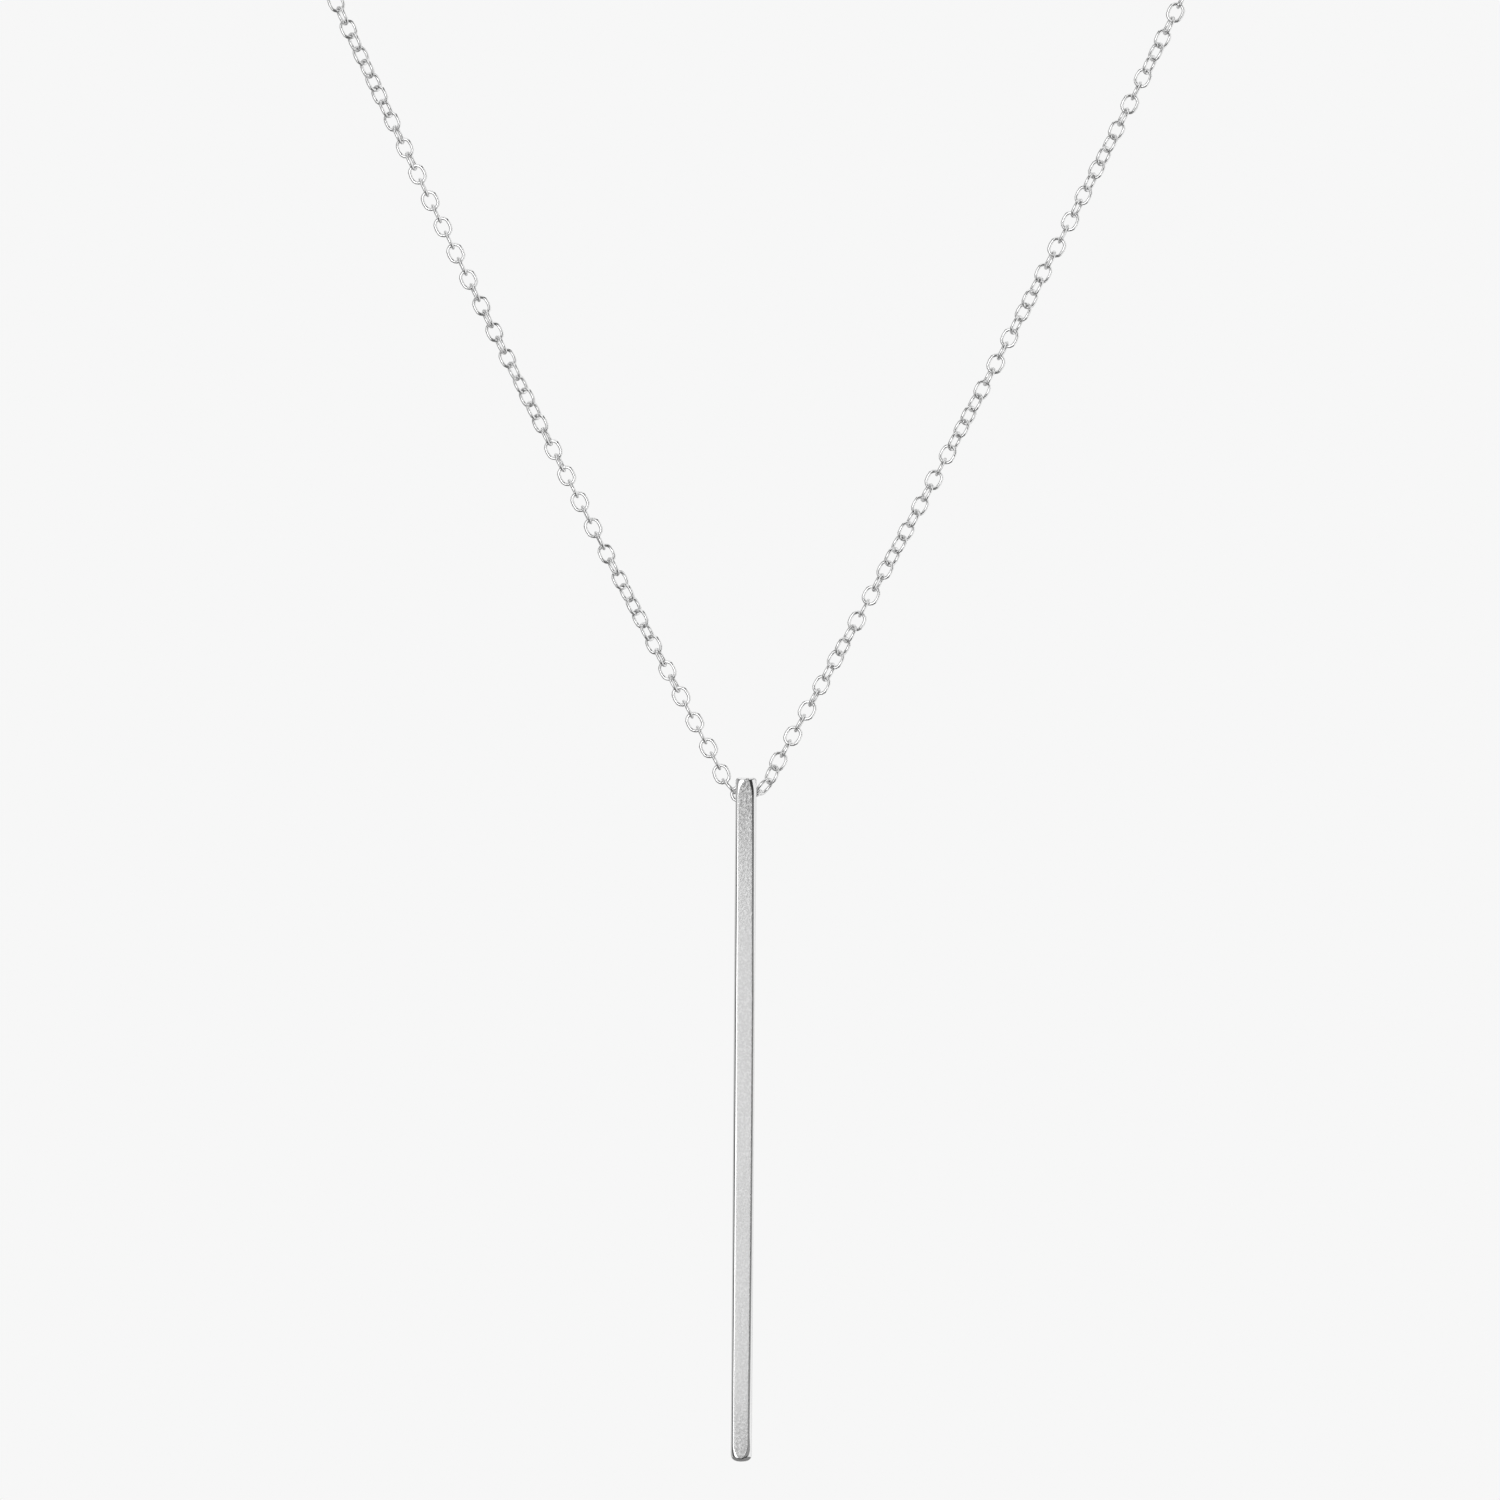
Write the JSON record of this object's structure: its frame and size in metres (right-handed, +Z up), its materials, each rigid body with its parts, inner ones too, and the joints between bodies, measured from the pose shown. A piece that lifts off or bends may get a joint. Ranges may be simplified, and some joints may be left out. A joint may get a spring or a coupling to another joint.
{
  "type": "bar pendant necklace",
  "caption": "Slim vertical bar pendant with a sandblasted front and polished rounded edges, threaded on a fine cable chain that hangs in a V from a clasp at the nape.",
  "frame": {"origin": "middle of the clasp at the nape, where the necklace hangs on a neck", "axes": "+Z up, +X to the right as seen from the front, -Y to the front; the bar hangs straight down 76 mm in front of the nape"},
  "size_m": [0.112, 0.0778, 0.1906],
  "materials": {
    "bar": "silver, sandblasted front face, polished rounded edges and sides",
    "chain": "polished silver wire",
    "clasp": "polished silver"
  },
  "bodies": {
    "necklace": {"chain_front": "chain", "chain_back": "chain", "clasp": "clasp"},
    "pendant": {"bar": "bar"}
  },
  "joints": [
    {"name": "bar_swing", "type": "hinge", "parent": "necklace", "child": "pendant", "pos_m": [0, -0.076, -0.139], "axis": [1, 0, 0], "range_deg": [-90, 90]}
  ]
}
